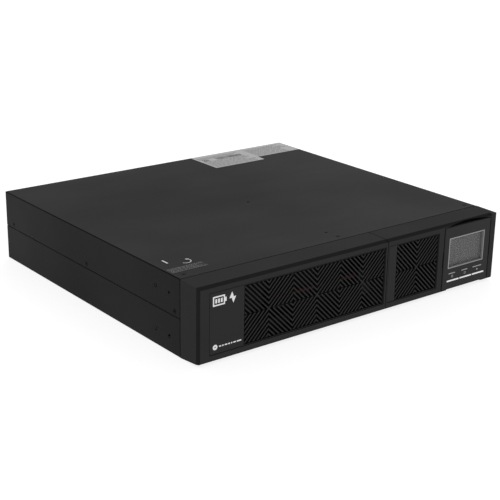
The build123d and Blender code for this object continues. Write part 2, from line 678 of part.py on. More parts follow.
def tray_handle():
    """Folded steel pull handle riveted to the drawer's front plate."""
    plate = Y_SEAM - FIT - SHEET
    middle, span, reach = TRAY_MID, 96.0, 15.0
    with BuildPart() as part:
        slab(around(middle, span), (plate - reach, plate - reach + 2.0), around(18.0, 12.0))
        for side in (-1, 1):
            slab(around(middle + side * (span / 2 - 1), 2.0), (plate - reach, plate), around(18.0, 12.0))
            slab(around(middle + side * (span / 2 + 6), 14.0), (plate - 2.0, plate), around(18.0, 12.0))
        fillet(part.edges().filter_by(Axis.Z).group_by(Axis.Y)[0], 1.8)
    return part


# Electronics

def main_board():
    """Power circuit board on its studs."""
    with BuildPart() as part:
        slab((6.0, 124.0), (Y_SEAM + 12, 160.0), (9.0, 10.6))
    return part


def heat_sinks():
    """Two finned aluminium extrusions standing in the air path."""
    with BuildPart() as part:
        for x, face in ((128.0, 1), (208.0, -1)):
            slab(sorted((x, x + face * 4)), (Y_SEAM + 20, 150.0), (LOW, 74.0))
            for k in range(9):
                z = 8.0 + k * 8.0
                slab(sorted((x + face * 3.9, x + face * 32)), (Y_SEAM + 20, 150.0), (z, z + 1.6))
    return part


def power_transistors():
    """Power semiconductors clamped to the left heat sink."""
    with BuildPart() as part:
        for k in range(7):
            slab((122.8, 127.9), around(Y_SEAM + 45 + k * 34, 15.8), (18.0, 38.0))
    return part


def bulk_capacitors():
    """Large electrolytic capacitors of the DC bus."""
    with BuildPart() as part:
        for x in (32.0, 66.0):
            for y in (Y_SEAM + 40, Y_SEAM + 74):
                rod_z(x, y, (10.65, 60.0), 15.0)
        fillet(part.edges().filter_by(GeomType.CIRCLE).group_by(Axis.Z)[-1], 1.5)
    return part


def inductors():
    """Toroidal chokes lying on the board."""
    with BuildPart() as part:
        for x, y in ((38.0, 10.0), (90.0, 10.0), (38.0, 65.0)):
            rod_z(x, y, (10.65, 38.0), 23.0)
            rod_z(x, y, (5.0, 45.0), 9.0, Mode.SUBTRACT)
        fillet(part.edges().filter_by(GeomType.CIRCLE), 5.0)
    return part


def transformer():
    """Ferrite transformer: a winding between two core halves."""
    with BuildPart() as part:
        slab(around(90.0, 42), around(66.0, 50), (10.65, 24.0))
        slab(around(90.0, 42), around(66.0, 50), (44.0, 57.0))
        slab(around(90.0, 14), around(66.0, 50), (20.0, 50.0))
        slab(around(90.0, 38), around(66.0, 32), (23.0, 45.0))
    return part


def relays():
    """Transfer relays in a row near the rear of the board."""
    with BuildPart() as part:
        for k in range(4):
            slab(around(24.0 + k * 27, 20), around(130.0, 30), (10.65, 36.0))
    return part


def control_board():
    """Control card standing along the partition."""
    with BuildPart() as part:
        slab((9.0, 10.6), (-70.0, -20.0), (10.65, 78.0))
        for k in range(3):
            slab((10.6, 13.0), around(-60 + k * 15, 9), around(48.0, 9))
    return part


# Rear

def rear_panel():
    """Steel rear wall with its cut-outs."""
    y = (Y_REAR - SHEET, Y_REAR)
    with BuildPart() as part:
        slab((-SKIN + FIT, SKIN - FIT), y, (LOW, HIGH))
        for side in (-1, 1):
            x = sorted((side * (SKIN - FIT), side * (SKIN - FIT - SHEET)))
            slab(x, (Y_REAR - 14, Y_REAR), (LOW, HIGH))
        with BuildSketch(Plane.XZ.offset(-Y_REAR)):
            with Locations((FAN_X, FAN_Z)):
                Circle(37.5)
                with GridLocations(71.5, 71.5, 2, 2):
                    Circle(2.2)
            with Locations(*[(STRIP_X, z) for z in STRIP_Z]):
                Rectangle(STRIP_W - 3.6, STRIP_H - 3.6)
            with Locations((INLET_X, INLET_Z)):
                Rectangle(28.4, 20.4)
                with GridLocations(40, 0, 2, 1):
                    Circle(1.7)
            with Locations((BREAKER_X, BREAKER_Z)):
                Circle(6.1)
            with Locations((DC_X, DC_Z)):
                Rectangle(30.4, 18.4)
            with Locations((EPO_X, EPO_Z)):
                Rectangle(12.4, 9.4)
            with Locations((SLOT_X, SLOT_Z)):
                Rectangle(SLOT_W - 14, SLOT_H - 4)
                with GridLocations(SLOT_W - 6, 0, 2, 1):
                    Circle(1.7)
            with Locations((USB_X, PORT_Z)):
                Rectangle(12.6, 11.6)
            with Locations((SERIAL_X, PORT_Z)):
                Rectangle(20.4, 12.4)
            with Locations(*panel_screw_places()):
                Circle(1.7)
        extrude(amount=SHEET * 3, both=True, mode=Mode.SUBTRACT)
    return part


def panel_screw_places():
    """Centres in X and Z of the screws round the rear panel's edge."""
    return [(-205.0, 80.0), (-70.0, 80.0), (36.0, 80.0), (-205.0, 6.5), (-70.0, 6.5), (118.0, 6.5)]


def rear_screws():
    """Pan-head screws on the rear: panel edge, slot cover and mains inlet."""
    screw = pan_screw()
    thin = pan_screw(2.6, 1.6, 8.0)
    facing = (-90, 0, 0)
    with BuildPart() as part:
        for x, z in panel_screw_places():
            add(screw.moved(Location((x, Y_REAR, z), facing)))
        for side in (-1, 1):
            add(thin.moved(Location((SLOT_X + side * (SLOT_W - 6) / 2, Y_REAR + 1.2, SLOT_Z), facing)))
            add(thin.moved(Location((INLET_X + side * 20, Y_REAR + 2.4, INLET_Z), facing)))
    return part


def fan_screws():
    """Screws through the fan's corners, which also hold the guard."""
    screw = pan_screw(3.6, 2.0, 12.0)
    with BuildPart() as part:
        for side in (-1, 1):
            for up in (-1, 1):
                add(screw.moved(Location(
                    (FAN_X + side * 35.75, Y_REAR + 1.65, FAN_Z + up * 35.75), (-90, 0, 0))))
    return part


def fan_frame():
    """Square fan housing with a round duct, and a hub held on four arms."""
    y = (Y_REAR - SHEET - FAN_DEPTH, Y_REAR - SHEET)
    with BuildPart() as part:
        slab(around(FAN_X, FAN), y, around(FAN_Z, FAN))
        fillet(part.edges().filter_by(Axis.Y), 4.0)
        rod_y(FAN_X, (y[0] - 1, y[1] + 1), FAN_Z, 37.5, Mode.SUBTRACT)
        rod_y(FAN_X, (y[0], y[0] + 4), FAN_Z, 16.5)
        for angle in range(0, 360, 90):
            with Locations(Location((FAN_X, y[0] + 1.5, FAN_Z), (0, angle + 45, 0))):
                with Locations((27.0, 0, 0)):
                    Box(24.0, 3.0, 4.0)
        for side in (-1, 1):
            for up in (-1, 1):
                rod_y(FAN_X + side * 35.75, (y[0] - 1, y[1] + 1), FAN_Z + up * 35.75, 1.9, Mode.SUBTRACT)
        rod_y(FAN_X, (y[0] - 1, y[0] + 5), FAN_Z, 2.1, Mode.SUBTRACT)
    return part


def fan_rotor():
    """Hub with seven pitched blades and its shaft."""
    low = Y_REAR - SHEET - FAN_DEPTH
    with BuildPart() as part:
        rod_y(FAN_X, (low + 5, low + 23), FAN_Z, 16.5)
        fillet(part.edges().filter_by(GeomType.CIRCLE).group_by(Axis.Y)[-1], 2.0)
        rod_y(FAN_X, (low + 1, low + 6), FAN_Z, 2.05)
        for k in range(7):
            turn = Location((FAN_X, low + 14, FAN_Z), (0, k * 360 / 7, 0))
            with BuildPart(mode=Mode.PRIVATE) as blade:
                with Locations(Location((26.0, 0, 0), (38, 0, 0))):
                    Box(21.0, 1.6, 22.0)
                with Locations(Location((0, 0, 0), (90, 0, 0))):
                    Cylinder(36.0, 17.0, mode=Mode.INTERSECT)
            add(blade.part.moved(turn))
    return part


def fan_guard():
    """Wire guard over the fan: four rings on two cross wires, with an eye at each corner."""
    wire = 0.8
    y = Y_REAR + wire
    with BuildPart() as part:
        for radius in (9.0, 18.0, 27.0, 36.0):
            with Locations(Location((FAN_X, y + 0.6, FAN_Z), (90, 0, 0))):
                Torus(radius, wire)
        for angle in (45, 135):
            with Locations(Location((FAN_X, y, FAN_Z), (0, angle, 0))):
                Cylinder(wire, 2 * 47.0)
        for side in (-1, 1):
            for up in (-1, 1):
                rod_y(FAN_X + side * 35.75, (y - wire, y + wire), FAN_Z + up * 35.75, 4.0)
                rod_y(FAN_X + side * 35.75, (y - 3, y + 3), FAN_Z + up * 35.75, 1.7, Mode.SUBTRACT)
    return part


def earthed_shape(width, height, corner):
    """The outline of a three-pin appliance connector: two of its corners are cut off."""
    w, h = width / 2, height / 2
    with BuildSketch(mode=Mode.PRIVATE) as shape:
        with BuildLine():
            Polyline((-w, -h), (w, -h), (w, h - corner), (w - corner, h), (corner - w, h), (-w, h - corner), close=True)
        make_face()
    return shape.sketch


def outlet_strip(z):
    """Four female mains outlets moulded in one strip."""
    body_y = (Y_REAR - 22, Y_REAR)
    with BuildPart() as part:
        slab(around(STRIP_X, STRIP_W - 4), body_y, around(z, STRIP_H - 4))
        slab(around(STRIP_X, STRIP_W), (Y_REAR, Y_REAR + 2), around(z, STRIP_H))
        fillet(part.faces().sort_by(Axis.Y)[-1].edges(), 0.8)
        for k in range(4):
            x = STRIP_X + (k - 1.5) * SOCKET_PITCH
            with BuildSketch(Plane.XZ.offset(-(Y_REAR + 2))):
                with Locations((x, z)):
                    add(earthed_shape(28.2, 20.2, 5.0))
            extrude(amount=17, mode=Mode.SUBTRACT)
            with BuildSketch(Plane.XZ.offset(-(Y_REAR + 0.5))):
                with Locations((x, z)):
                    add(earthed_shape(23.2, 15.2, 3.6))
            extrude(amount=16)
            for pin_x, pin_z in ((-7, -2), (7, -2), (0, 2)):
                slab(around(x + pin_x, 2.4), (Y_REAR - 12, Y_REAR + 1), around(z + pin_z, 4.8), Mode.SUBTRACT)
    return part


def mains_inlet():
    """Male mains inlet with three blades in its shroud."""
    with BuildPart() as part:
        slab(around(INLET_X, 28), (Y_REAR - 22, Y_REAR), around(INLET_Z, 20))
        slab(around(INLET_X, 50), (Y_REAR, Y_REAR + 2.4), around(INLET_Z, 24))
        fillet(part.edges().filter_by(Axis.Y).group_by(Axis.X)[0], 5.0)
        fillet(part.edges().filter_by(Axis.Y).group_by(Axis.X)[-1], 5.0)
        with BuildSketch(Plane.XZ.offset(-(Y_REAR + 2.4))):
            with Locations((INLET_X, INLET_Z)):
                add(earthed_shape(24.6, 16.6, 4.4))
        extrude(amount=19, mode=Mode.SUBTRACT)
        for pin_x, pin_z in ((-7, -2), (7, -2), (0, 2)):
            slab(around(INLET_X + pin_x, 2.0), (Y_REAR - 18, Y_REAR - 1), around(INLET_Z + pin_z, 4.0))
        for side in (-1, 1):
            rod_y(INLET_X + side * 20, (Y_REAR - 1, Y_REAR + 3), INLET_Z, 1.7, Mode.SUBTRACT)
    return part


def circuit_breaker():
    """Resettable breaker with a threaded collar and nut."""
    with BuildPart() as part:
        slab(around(BREAKER_X, 18), (Y_REAR - 32, Y_REAR - SHEET), around(BREAKER_Z, 30))
        rod_y(BREAKER_X, (Y_REAR - SHEET - 1, Y_REAR + REAR_PROUD), BREAKER_Z, 5.8)
        with BuildSketch(Plane.XZ.offset(-Y_REAR)):
            with Locations((BREAKER_X, BREAKER_Z)):
                RegularPolygon(8.4, 6)
        extrude(amount=-2.4)
        rod_y(BREAKER_X, (Y_REAR - 14, Y_REAR + REAR_PROUD + 1), BREAKER_Z, 4.0, Mode.SUBTRACT)
    return part


def breaker_button():
    """Push button that pops out when the breaker trips."""
    with BuildPart() as part:
        rod_y(BREAKER_X, (Y_REAR - 12, Y_REAR + REAR_PROUD - 0.2), BREAKER_Z, 3.7)
        fillet(part.edges().filter_by(GeomType.CIRCLE).group_by(Axis.Y)[-1], 0.8)
    return part


def dc_socket():
    """Two-pole socket for an external battery pack."""
    with BuildPart() as part:
        slab(around(DC_X, 30), (Y_REAR - 24, Y_REAR), around(DC_Z, 18))
        slab(around(DC_X, 36), (Y_REAR, Y_REAR + 3.6), around(DC_Z, 24))
        fillet(part.edges().filter_by(Axis.Y).group_by(Axis.X)[0], 2.0)
        fillet(part.edges().filter_by(Axis.Y).group_by(Axis.X)[-1], 2.0)
        for side in (-1, 1):
            slab(around(DC_X + side * 7, 10.5), (Y_REAR - 18, Y_REAR + 5), around(DC_Z, 12), Mode.SUBTRACT)
            slab(around(DC_X + side * 7, 5.0), (Y_REAR - 19, Y_REAR - 3), around(DC_Z, 1.6))
    return part


def epo_terminal():
    """Two-way terminal block for a remote power-off switch."""
    with BuildPart() as part:
        slab(around(EPO_X, 12), (Y_REAR - 14, Y_REAR + 2.4), around(EPO_Z, 9))
        for side in (-1, 1):
            slab(around(EPO_X + side * 2.6, 3.6), (Y_REAR - 8, Y_REAR + 3), around(EPO_Z, 5.4), Mode.SUBTRACT)
            rod_y(EPO_X + side * 2.6, (Y_REAR - 9, Y_REAR + 0.5), EPO_Z, 0.7)
    return part


def slot_cover():
    """Blank plate over the communications card slot."""
    with BuildPart() as part:
        slab(around(SLOT_X, SLOT_W), (Y_REAR, Y_REAR + 1.2), around(SLOT_Z, SLOT_H))
        fillet(part.edges().filter_by(Axis.Y), 2.0)
        for side in (-1, 1):
            rod_y(SLOT_X + side * (SLOT_W - 6) / 2, (Y_REAR - 1, Y_REAR + 3), SLOT_Z, 1.7, Mode.SUBTRACT)
    return part


def usb_port():
    """Square data port with its tongue."""
    with BuildPart() as part:
        slab(around(USB_X, 12.2), (Y_REAR - 16, Y_REAR + 0.8), around(PORT_Z, 11.2))
        slab(around(USB_X, 8.6), (Y_REAR - 12, Y_REAR + 2), around(PORT_Z, 7.8), Mode.SUBTRACT)
        slab(around(USB_X, 5.6), (Y_REAR - 13, Y_REAR - 1), around(PORT_Z, 3.0))
    return part


def serial_port():
    """Nine-way D-shaped port with its two hexagonal posts."""
    with BuildPart() as part:
        slab(around(SERIAL_X, 19.8), (Y_REAR - 12, Y_REAR), around(PORT_Z, 12.0))
        slab(around(SERIAL_X, 31), (Y_REAR, Y_REAR + 0.8), around(PORT_Z, 12.6))
        with BuildSketch(Plane.XZ.offset(-(Y_REAR + 0.8))):
            with Locations((SERIAL_X, PORT_Z)):
                Trapezoid(16.6, 8.4, 100, rotation=180)
        extrude(amount=-4.0)
        for row, count in ((1.4, 5), (-1.4, 4)):
            for k in range(count):
                rod_y(SERIAL_X + (k - (count - 1) / 2) * 2.76, (Y_REAR - 1, Y_REAR + 6), PORT_Z + row, 0.6,
                      Mode.SUBTRACT)
        for side in (-1, 1):
            with BuildSketch(Plane.XZ.offset(-(Y_REAR + 0.8))):
                with Locations((SERIAL_X + side * 12.5, PORT_Z)):
                    RegularPolygon(2.7, 6)
                    Circle(1.4, mode=Mode.SUBTRACT)
            extrude(amount=-4.0)
    return part


save(base_tray(), "base_tray")
save(top_cover(), "top_cover")
save(side_rail(-1), "side_rail_left")
save(side_rail(1), "side_rail_right")
save(cover_screws(), "cover_screws")
save(front_bulkhead(), "front_bulkhead")
save(bay_wall(), "bay_wall")
save(label((61.0, 143.0), (Y_REAR - 60.5, Y_REAR - 1.0)), "rating_label")
save(label((143.2, 217.0), (Y_REAR - 45.5, Y_REAR - 1.0)), "spec_label")
save(label((-216.5, -170.0), (Y_SEAM + 16.5, Y_SEAM + 30.5)), "guide_label")

save(battery_cover(), "battery_cover")
save(louvre(COVER_BAND, COVER_OPENING, COVER_LOUVRE_X, 3), "cover_louvre")
save(front_bezel(), "front_bezel")
save(louvre(BEZEL_BAND, BEZEL_OPENING, BEZEL_LOUVRE_X, 1), "bezel_louvre")

save(display_housing(), "display_housing")
save(display_back(), "display_back")
save(display_trim(), "display_trim")
save(display_window(), "display_window")
save(lcd_panel(), "lcd_panel")
save(display_board(), "display_board")
for key_name, key_x in zip(("left", "middle", "right"), KEY_X):
    save(display_key(key_x), f"key_{key_name}")

save(battery_tray(), "battery_tray")
for number, centre in enumerate(block_centres(), 1):
    save(battery_block(*centre), f"battery_block_{number}")
save(battery_terminals(), "battery_terminals")
save(battery_links(), "battery_links")
save(battery_lead(LEAD_Z[1], 1), "battery_lead_positive")
save(battery_lead(LEAD_Z[0], -1), "battery_lead_negative")
save(battery_plug(), "battery_plug")
save(battery_receptacle(), "battery_receptacle")
save(tray_thumbscrews(), "tray_thumbscrews")
save(tray_handle(), "tray_handle")

save(main_board(), "main_board")
save(heat_sinks(), "heat_sinks")
save(power_transistors(), "power_transistors")
save(bulk_capacitors(), "bulk_capacitors")
save(inductors(), "inductors")
save(transformer(), "transformer")
save(relays(), "relays")
save(control_board(), "control_board")

save(rear_panel(), "rear_panel")
save(rear_screws(), "rear_screws")
save(fan_frame(), "fan_frame")
save(fan_rotor(), "fan_rotor")
save(fan_guard(), "fan_guard")
save(fan_screws(), "fan_screws")
for strip_name, strip_z in zip(("lower", "upper"), STRIP_Z):
    save(outlet_strip(strip_z), f"outlet_strip_{strip_name}")
save(mains_inlet(), "mains_inlet")
save(circuit_breaker(), "circuit_breaker")
save(breaker_button(), "breaker_button")
save(dc_socket(), "dc_socket")
save(epo_terminal(), "epo_terminal")
save(slot_cover(), "slot_cover")
save(usb_port(), "usb_port")
save(serial_port(), "serial_port")

print(len(saved), "pieces")
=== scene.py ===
"""Looks of a 2U rack or tower uninterruptible power supply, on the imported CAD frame.

Lengths are in metres, in the row frame: X to the right seen from the front, Y to the rear, Z up.
"""

import json
import random
from math import cos, radians, sin

import bmesh
import bpy
from mathutils import Matrix, Vector


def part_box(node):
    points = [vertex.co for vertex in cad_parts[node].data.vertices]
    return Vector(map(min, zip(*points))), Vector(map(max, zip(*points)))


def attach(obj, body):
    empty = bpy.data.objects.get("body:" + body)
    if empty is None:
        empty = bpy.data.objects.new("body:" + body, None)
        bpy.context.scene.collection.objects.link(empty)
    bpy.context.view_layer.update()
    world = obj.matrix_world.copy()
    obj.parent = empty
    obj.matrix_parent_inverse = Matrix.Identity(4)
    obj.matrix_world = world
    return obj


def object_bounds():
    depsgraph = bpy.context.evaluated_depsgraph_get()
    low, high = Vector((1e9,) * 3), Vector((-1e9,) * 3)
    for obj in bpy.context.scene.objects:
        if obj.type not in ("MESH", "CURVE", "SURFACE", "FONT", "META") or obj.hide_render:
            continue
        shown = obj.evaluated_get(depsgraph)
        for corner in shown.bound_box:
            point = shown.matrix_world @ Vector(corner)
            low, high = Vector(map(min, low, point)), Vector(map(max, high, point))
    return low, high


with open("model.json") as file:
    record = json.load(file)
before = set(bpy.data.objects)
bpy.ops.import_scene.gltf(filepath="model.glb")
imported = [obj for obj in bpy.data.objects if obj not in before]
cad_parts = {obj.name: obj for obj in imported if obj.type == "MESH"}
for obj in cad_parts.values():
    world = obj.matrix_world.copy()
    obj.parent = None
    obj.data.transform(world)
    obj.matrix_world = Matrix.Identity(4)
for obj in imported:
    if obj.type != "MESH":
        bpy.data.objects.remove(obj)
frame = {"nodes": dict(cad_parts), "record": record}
cad_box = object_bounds()
MM = 0.001


# Materials


class Nodes:
    """A material's node tree, with short calls for the nodes used here."""

    def __init__(self, name):
        self.material = bpy.data.materials.new(name)
        self.material.use_nodes = True
        self.tree = self.material.node_tree
        self.shader = self.tree.nodes["Principled BSDF"]
        self.place = self.add("ShaderNodeTexCoord").outputs["Object"]

    def add(self, kind, **settings):
        node = self.tree.nodes.new(kind)
        for key, value in settings.items():
            setattr(node, key, value)
        return node

    def link(self, source, target):
        self.tree.links.new(source, target)

    def feed(self, target, value):
        """Links a socket to target, or sets target to a plain value."""
        if isinstance(value, bpy.types.NodeSocket):
            self.link(value, target)
        else:
            target.default_value = value

    def stretched(self, scale):
        """The object's coordinates, scaled along each axis."""
        mapping = self.add("ShaderNodeMapping")
        mapping.inputs["Scale"].default_value = scale
        self.link(self.place, mapping.inputs["Vector"])
        return mapping.outputs["Vector"]

    def noise(self, scale, detail=3.0, roughness=0.55, vector=None, seed=0.0):
        node = self.add("ShaderNodeTexNoise", noise_dimensions="4D")
        self.link(vector or self.place, node.inputs["Vector"])
        node.inputs["W"].default_value = seed
        node.inputs["Scale"].default_value = scale
        node.inputs["Detail"].default_value = detail
        node.inputs["Roughness"].default_value = roughness
        return node.outputs["Fac"]

    def between(self, factor, low, high, start=0.3, end=0.7):
        """A number that goes from low to high as factor goes from start to end."""
        node = self.add("ShaderNodeMapRange")
        self.feed(node.inputs["Value"], factor)
        node.inputs["From Min"].default_value = start
        node.inputs["From Max"].default_value = end
        self.feed(node.inputs["To Min"], low)
        self.feed(node.inputs["To Max"], high)
        return node.outputs["Result"]

    def mix(self, factor, a, b):
        node = self.add("ShaderNodeMix", data_type="RGBA")
        self.feed(node.inputs["Factor"], factor)
        for socket, value in ((node.inputs["A"], a), (node.inputs["B"], b)):
            self.feed(socket, opaque(value))
        return node.outputs["Result"]

    def math(self, operation, a, b=0.0, clamp=False):
        node = self.add("ShaderNodeMath", operation=operation, use_clamp=clamp)
        self.feed(node.inputs[0], a)
        self.feed(node.inputs[1], b)
        return node.outputs["Value"]

    def axis(self, name):
        """One coordinate, in metres."""
        split = self.add("ShaderNodeSeparateXYZ")
        self.link(self.place, split.inputs["Vector"])
        return split.outputs[name]

    def facing(self, name):
        """One component of the surface's normal."""
        split = self.add("ShaderNodeSeparateXYZ")
        self.link(self.add("ShaderNodeTexCoord").outputs["Normal"], split.inputs["Vector"])
        return split.outputs[name]

    def edges(self, radius):
        """1 on outside edges and 0 elsewhere, from how far a rounded normal leans."""
        bevel = self.add("ShaderNodeBevel", samples=4)
        bevel.inputs["Radius"].default_value = radius
        flat = self.add("ShaderNodeNewGeometry").outputs["Normal"]
        dot = self.add("ShaderNodeVectorMath", operation="DOT_PRODUCT")
        self.link(bevel.outputs["Normal"], dot.inputs[0])
        self.link(flat, dot.inputs[1])
        return self.between(dot.outputs["Value"], 1.0, 0.0, 0.75, 0.99)

    def crevice_shade(self, distance=0.0015):
        """Painted shade for grooves: 1 on open surfaces, falling to 0.12 in grooves and gaps narrower than
        the distance.
        """
        node = self.add("ShaderNodeAmbientOcclusion", samples=6, only_local=False)
        node.inputs["Distance"].default_value = distance
        return self.between(node.outputs["AO"], 0.12, 1.0, 0.25, 0.8)

    def bump(self, height, depth, normal=None):
        """The normal of a surface that rises by depth, in metres, where height goes from 0 to 1."""
        node = self.add("ShaderNodeBump")
        node.inputs["Strength"].default_value = 1.0
        node.inputs["Distance"].default_value = depth
        self.feed(node.inputs["Height"], height)
        if normal:
            self.link(normal, node.inputs["Normal"])
        return node.outputs["Normal"]

    def rounded(self, radius):
        """The normal of the surface with its edges rounded."""
        bevel = self.add("ShaderNodeBevel", samples=4)
        bevel.inputs["Radius"].default_value = radius
        return bevel.outputs["Normal"]

    def surface(self, colour=None, roughness=None, normal=None, metallic=0.0, specular=0.5):
        """Feeds the shader and returns the material."""
        inputs = self.shader.inputs
        if colour is not None:
            self.feed(inputs["Base Color"], opaque(colour))
        if roughness is not None:
            self.feed(inputs["Roughness"], roughness)
        if normal is not None:
            self.feed(inputs["Normal"], normal)
        inputs["Metallic"].default_value = metallic
        self.feed(inputs["Specular IOR Level"], specular)
        return self.material


def grey(value):
    """A neutral linear colour."""
    return (value, value, value)


def scaled(colour, factor):
    return tuple(channel * factor for channel in colour)


def opaque(value):
    """A colour with its alpha added; a socket or a number is returned as it is."""
    return (*value, 1.0) if isinstance(value, tuple) and len(value) == 3 else value


LCD = grey(0.0135)


def moulded(name, colour, rough=(0.5, 0.62), grain=0.00004, pitch=0.0007, worn=0.25,
            specular=0.5, round_edge=0.00022, gap=0.0015, shade=None, dark_bevels=False):
    """Injection-moulded plastic: fine spark-eroded grain, faint mottling, edges rubbed a little shinier.

    Gaps narrower than gap get painted shade: they go dark and lose most of their specular. shade holds two
    places along Y, in metres, between which painted shade takes the surface to black. dark_bevels
    paints shade on the strips that slant between a front face and its neighbours.
    """
    m = Nodes(name)
    mottle = m.noise(14.0, 4.0, seed=1.7)
    fine = m.noise(1.0 / pitch, 2.0, 0.6, seed=4.1)
    base = m.mix(m.between(mottle, 0.0, 1.0), scaled(colour, 0.9), scaled(colour, 1.1))
    speckled = m.mix(m.between(fine, 0.0, 0.35), base, scaled(colour, 1.5))
    edge = m.math("MULTIPLY", m.edges(0.0003), m.between(m.noise(90.0, 3.0, seed=8.3), 0.2, 1.0))
    tinted = m.mix(m.math("MULTIPLY", edge, worn), speckled, scaled(colour, 2.6))
    # Painted shade in gaps narrower than gap: darker colour and less specular.
    unshaded = m.crevice_shade(gap)
    # Painted shade on the bevel strips, whose normals lean part way to the front.
    if dark_bevels:
        lean = m.math("ABSOLUTE", m.facing("Y"))
        slant = m.math("MULTIPLY", m.between(lean, 0.0, 1.0, 0.2, 0.3),
                       m.between(lean, 1.0, 0.0, 0.6, 0.75))
        unshaded = m.math("MULTIPLY", unshaded, m.between(slant, 1.0, 0.5, 0.0, 1.0))
    tinted = m.mix(unshaded, scaled(colour, 0.1), tinted)
    specular = m.math("MULTIPLY", unshaded, specular)
    # Painted shade: black between the two depths along Y held in shade.
    if shade:
        depth_shade = m.between(m.axis("Y"), 0.0, 1.0, *shade)
        tinted = m.mix(depth_shade, tinted, scaled(colour, 0.08))
        specular = m.between(depth_shade, specular, 0.02, 0.0, 1.0)
    roughness = m.math("SUBTRACT", m.between(mottle, *rough), m.math("MULTIPLY", edge, 0.1))
    return m.surface(tinted, roughness, m.bump(fine, grain, m.rounded(round_edge)), specular=specular)


def powder_coat(name, colour, rough=(0.46, 0.6), worn=0.2, specular=0.5, pitch=0.0009, depth=0.00006):
    """Textured powder coat on steel: orange-peel grain, soft cloudiness, faint rub marks, painted shade in
    folds and gaps.
    """
    m = Nodes(name)
    cloud = m.noise(4.0, 2.0, seed=2.2)
    grain = m.noise(1.0 / pitch, 3.0, 0.65, seed=5.5)
    rub = m.noise(30.0, 6.0, 0.7, m.stretched((0.25, 1.0, 1.0)), seed=9.1)
    base = m.mix(m.between(cloud, 0.0, 1.0), scaled(colour, 0.97), scaled(colour, 1.04))
    speckled = m.mix(m.between(grain, 0.0, 0.4, 0.35, 0.75), base, scaled(colour, 1.6))
    edge = m.math("MULTIPLY", m.edges(0.0004), m.between(rub, 0.1, 1.0, 0.4, 0.65))
    tinted = m.mix(m.math("MULTIPLY", edge, worn), speckled, scaled(colour, 3.0))
    # Painted shade along the rounded folds, where the normal leans part way to the side, and in narrow
    # gaps.
    lean = m.math("ABSOLUTE", m.facing("X"))
    fold_shade = m.math("MULTIPLY", m.between(lean, 0.0, 1.0, 0.05, 0.3),
                  m.between(lean, 1.0, 0.0, 0.8, 0.99))
    unshaded = m.math("MULTIPLY", m.crevice_shade(), m.between(fold_shade, 1.0, 0.25, 0.0, 1.0))
    tinted = m.mix(unshaded, scaled(colour, 0.1), tinted)
    specular = m.math("MULTIPLY", unshaded, specular)
    roughness = m.math("ADD", m.between(cloud, *rough), m.between(rub, -0.015, 0.015))
    return m.surface(tinted, roughness, m.bump(grain, depth, m.rounded(0.0003)), specular=specular)


def metal(name, colour, rough=(0.28, 0.42), along="X", scratch=0.00002, round_edge=0.0003):
    """Rolled or plated metal: drawn streaks, dull patches and a rounded edge."""
    m = Nodes(name)
    stretch = {"X": (0.04, 1.0, 1.0), "Y": (1.0, 0.04, 1.0), "Z": (1.0, 1.0, 0.04)}[along]
    streaks = m.noise(900.0, 3.0, 0.6, m.stretched(stretch), seed=3.3)
    patches = m.noise(45.0, 4.0, seed=6.1)
    base = m.mix(m.between(patches, 0.0, 1.0), scaled(colour, 0.82), colour)
    tinted = m.mix(m.between(streaks, 0.0, 0.3), base, scaled(colour, 0.7))
    roughness = m.math("ADD", m.between(patches, *rough), m.between(streaks, -0.05, 0.05))
    return m.surface(tinted, roughness, m.bump(streaks, scratch, m.rounded(round_edge)), metallic=1.0)


def circuit_board(name):
    """Solder mask with copper tracks showing through and a weave under it."""
    m = Nodes(name)
    tracks = m.add("ShaderNodeTexBrick", offset=0.37, squash=0.6, squash_frequency=3)
    m.link(m.place, tracks.inputs["Vector"])
    tracks.inputs["Scale"].default_value = 120.0
    tracks.inputs["Mortar Size"].default_value = 0.03
    tracks.inputs["Color1"].default_value = (0.006, 0.055, 0.022, 1)
    tracks.inputs["Color2"].default_value = (0.009, 0.075, 0.03, 1)
    tracks.inputs["Mortar"].default_value = (0.02, 0.13, 0.05, 1)
    spots = m.add("ShaderNodeTexVoronoi", feature="DISTANCE_TO_EDGE")
    m.link(m.place, spots.inputs["Vector"])
    spots.inputs["Scale"].default_value = 210.0
    joints = m.between(spots.outputs["Distance"], 1.0, 0.0, 0.0, 0.05)
    colour = m.mix(m.math("MULTIPLY", joints, 0.25), tracks.outputs["Color"], (0.25, 0.3, 0.22))
    rough = m.between(m.noise(60.0), 0.28, 0.42)
    return m.surface(colour, rough, m.bump(tracks.outputs["Fac"], 0.00003))


def winding(name):
    """Varnished copper wire wound round a core."""
    m = Nodes(name)
    turns = m.add("ShaderNodeTexWave", wave_type="RINGS", rings_direction="Z", bands_direction="X")
    m.link(m.place, turns.inputs["Vector"])
    turns.inputs["Scale"].default_value = 130.0
    turns.inputs["Distortion"].default_value = 1.2
    turns.inputs["Detail"].default_value = 2.0
    colour = m.mix(turns.outputs["Fac"], (0.12, 0.028, 0.008), (0.5, 0.17, 0.05))
    rough = m.between(m.noise(40.0), 0.22, 0.4)
    return m.surface(colour, rough, m.bump(turns.outputs["Fac"], 0.0005), metallic=0.6)


def paper_label(name, colour, specular=0.5):
    """Printed polyester film: a faint weave of print dots and soft handling marks."""
    m = Nodes(name)
    dots = m.noise(1600.0, 1.0, seed=7.7)
    marks = m.noise(35.0, 5.0, seed=1.2)
    base = m.mix(m.between(marks, 0.0, 1.0), scaled(colour, 0.93), scaled(colour, 1.05))
    tinted = m.mix(m.between(dots, 0.0, 0.2), base, scaled(colour, 0.8))
    return m.surface(tinted, m.between(marks, 0.42, 0.58), m.bump(marks, 0.00003), specular=specular)


def ink(name, colour):
    """Screen-printed ink, thin enough to show the grain under it."""
    m = Nodes(name)
    fine = m.noise(1500.0, 2.0, seed=2.9)
    tinted = m.mix(m.between(fine, 0.0, 1.0), scaled(colour, 0.88), colour)
    return m.surface(tinted, m.between(fine, 0.45, 0.6), m.bump(fine, 0.00002))


